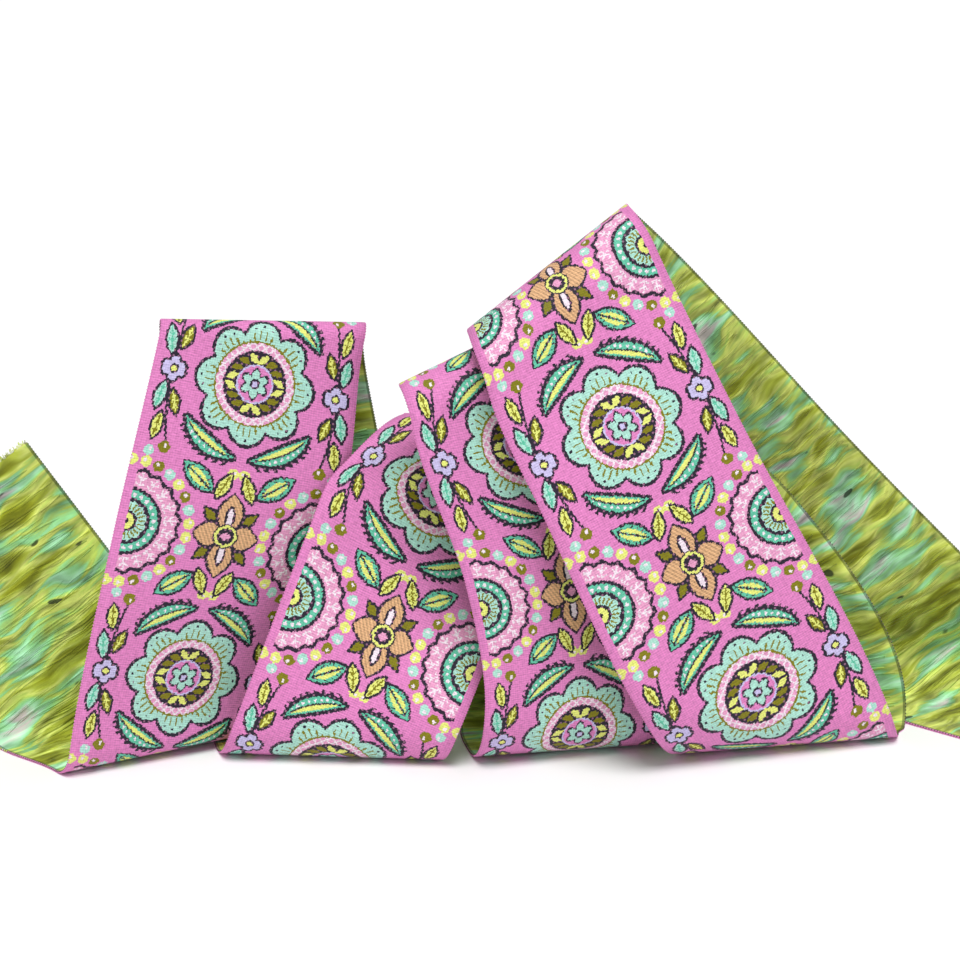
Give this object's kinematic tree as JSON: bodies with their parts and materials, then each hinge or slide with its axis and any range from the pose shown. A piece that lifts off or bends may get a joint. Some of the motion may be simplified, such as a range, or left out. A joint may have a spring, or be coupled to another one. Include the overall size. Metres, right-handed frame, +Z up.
{
  "type": "jacquard ribbon",
  "caption": "Woven jacquard ribbon standing in loose flattened loops, patterned on its pink outer face, with floating threads on its inner face.",
  "frame": {"origin": "middle of the ribbon's box, on the surface it stands on", "axes": "+X from the loose end towards the flat end, +Z up, the patterned side of the tallest loop looks along -Y"},
  "size_m": [0.317, 0.0706, 0.13],
  "materials": {
    "ribbon_weave": "woven, slightly lustrous"
  },
  "bodies": {
    "root": {"ribbon": "ribbon_weave"}
  },
  "joints": []
}
